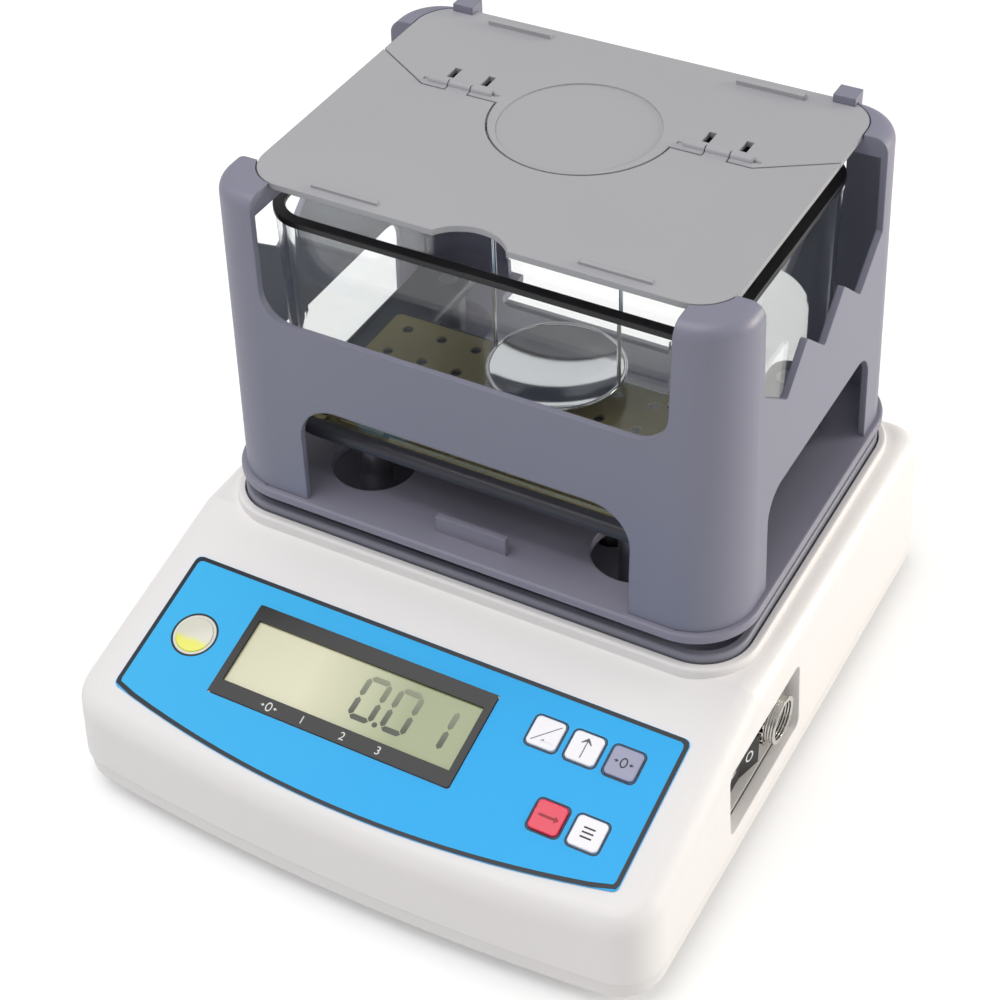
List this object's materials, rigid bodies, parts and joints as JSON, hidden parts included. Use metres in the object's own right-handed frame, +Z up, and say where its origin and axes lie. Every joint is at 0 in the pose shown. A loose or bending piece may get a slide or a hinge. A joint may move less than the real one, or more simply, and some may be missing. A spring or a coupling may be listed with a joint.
{
  "type": "benchtop density meter",
  "caption": "Bench balance for density: sloped key panel, grey windowed tower with hinged lid and hanging basket, clear water tank on a fixed shelf.",
  "frame": {"origin": "centre of the bounding box on the table, under the feet", "axes": "+X to the right of the operator, -Y towards the operator, +Z up"},
  "size_m": [0.19, 0.212, 0.1714],
  "materials": {
    "housing_white": "satin moulded ABS",
    "shell_white": "satin moulded ABS",
    "panel_blue": "printed polyester film",
    "bezel_black": "gloss",
    "display_green": "liquid crystal cell",
    "backlight_white": "light guide",
    "key_white": "silicone-soft",
    "key_grey": "silicone-soft",
    "key_red": "silicone-soft",
    "level_cup": "satin",
    "level_fluid": "clear",
    "switch_black": "fine texture",
    "socket_metal": "nickel plated",
    "socket_black": "moulded",
    "contact_gold": "gold flash",
    "tray_grey": "fine texture",
    "plate_grey": "fine texture",
    "tower_grey": "satin moulded",
    "lid_grey": "fine texture",
    "steel": "bright",
    "tank_clear": "polished clear acrylic",
    "seal_black": "matte",
    "shelf_dark": "powder coat",
    "pad_tan": "matte",
    "hanger_black": "moulded",
    "foot_black": "moulded",
    "insert_brass": "turned",
    "cell_aluminium": "milled",
    "carrier_aluminium": "cast",
    "board_green": "solder mask"
  },
  "bodies": {
    "base": {"top_housing": "housing_white", "bottom_shell": "shell_white", "panel_overlay": "panel_blue", "display_bezel": "bezel_black", "display_glass": "display_green", "display_backlight": "backlight_white", "spirit_level_cup": "level_cup", "spirit_level_lens": "level_fluid", "switch_body": "switch_black", "key_switches": "switch_black", "socket_shell": "socket_metal", "socket_insert": "socket_black", "socket_pins": "contact_gold", "lower_tray": "tray_grey", "platform_plate": "plate_grey", "housing_screws": "steel", "load_cell_screws": "steel", "tank_posts": "steel", "post_nuts": "steel", "shelf_screws": "steel", "water_tank": "tank_clear", "tank_rim_seal": "seal_black", "tank_shelf": "shelf_dark", "shelf_pads": "pad_tan", "foot_inserts": "insert_brass", "load_cell": "cell_aluminium", "load_cell_mount": "cell_aluminium", "platform_carrier": "carrier_aluminium", "main_board": "board_green", "display_board": "board_green"},
    "tower": {"tower_frame": "tower_grey", "rear_lid": "lid_grey", "lid_hinge_pins": "steel", "hanger_block": "hanger_black"},
    "front_lid": {"front_lid": "lid_grey"},
    "basket": {"basket_yoke": "hanger_black", "basket_frame": "steel", "basket_pan": "steel"},
    "switch_rocker": {"switch_rocker": "switch_black"},
    "key_upper_left": {"key_upper_left": "key_white"},
    "key_upper_middle": {"key_upper_middle": "key_white"},
    "key_upper_right": {"key_upper_right": "key_grey"},
    "key_lower_left": {"key_lower_left": "key_red"},
    "key_lower_right": {"key_lower_right": "key_white"},
    "levelling_foot_front_left": {"levelling_foot_front_left": "foot_black"},
    "levelling_foot_front_right": {"levelling_foot_front_right": "foot_black"},
    "levelling_foot_rear_left": {"levelling_foot_rear_left": "foot_black"},
    "levelling_foot_rear_right": {"levelling_foot_rear_right": "foot_black"}
  },
  "joints": [
    {"name": "tower_lift", "type": "slide", "parent": "base", "child": "tower", "axis": [0, 0, 1], "range_m": [0, 0.11]},
    {"name": "front_lid_hinge", "type": "hinge", "parent": "tower", "child": "front_lid", "pos_m": [0, 0.053, 0.169], "axis": [-1, 0, 0], "range_deg": [0, 100]},
    {"name": "basket_swing", "type": "hinge", "parent": "tower", "child": "basket", "pos_m": [0, 0.034, 0.1578], "axis": [1, 0, 0], "range_deg": [-12, 12]},
    {"name": "switch_rock", "type": "hinge", "parent": "base", "child": "switch_rocker", "pos_m": [0.0865, -0.0285, 0.028], "axis": [0, 0, 1], "range_deg": [0, 14]},
    {"name": "key_upper_left_press", "type": "slide", "parent": "base", "child": "key_upper_left", "axis": [0, 0.2689, -0.9632], "range_m": [0, 0.0005], "stiffness_N_per_m": 800, "springref_m": -0.0005},
    {"name": "key_upper_middle_press", "type": "slide", "parent": "base", "child": "key_upper_middle", "axis": [0, 0.2689, -0.9632], "range_m": [0, 0.0005], "stiffness_N_per_m": 800, "springref_m": -0.0005},
    {"name": "key_upper_right_press", "type": "slide", "parent": "base", "child": "key_upper_right", "axis": [0, 0.2689, -0.9632], "range_m": [0, 0.0005], "stiffness_N_per_m": 800, "springref_m": -0.0005},
    {"name": "key_lower_left_press", "type": "slide", "parent": "base", "child": "key_lower_left", "axis": [0, 0.2689, -0.9632], "range_m": [0, 0.0005], "stiffness_N_per_m": 800, "springref_m": -0.0005},
    {"name": "key_lower_right_press", "type": "slide", "parent": "base", "child": "key_lower_right", "axis": [0, 0.2689, -0.9632], "range_m": [0, 0.0005], "stiffness_N_per_m": 800, "springref_m": -0.0005},
    {"name": "levelling_foot_front_left_turn", "type": "hinge", "parent": "base", "child": "levelling_foot_front_left", "pos_m": [-0.074, -0.08, 0.008], "axis": [0, 0, 1], "range_deg": [-360, 360]},
    {"name": "levelling_foot_front_right_turn", "type": "hinge", "parent": "base", "child": "levelling_foot_front_right", "pos_m": [0.074, -0.08, 0.008], "axis": [0, 0, 1], "range_deg": [-360, 360]},
    {"name": "levelling_foot_rear_left_turn", "type": "hinge", "parent": "base", "child": "levelling_foot_rear_left", "pos_m": [-0.074, 0.086, 0.008], "axis": [0, 0, 1], "range_deg": [-360, 360]},
    {"name": "levelling_foot_rear_right_turn", "type": "hinge", "parent": "base", "child": "levelling_foot_rear_right", "pos_m": [0.074, 0.086, 0.008], "axis": [0, 0, 1], "range_deg": [-360, 360]}
  ]
}
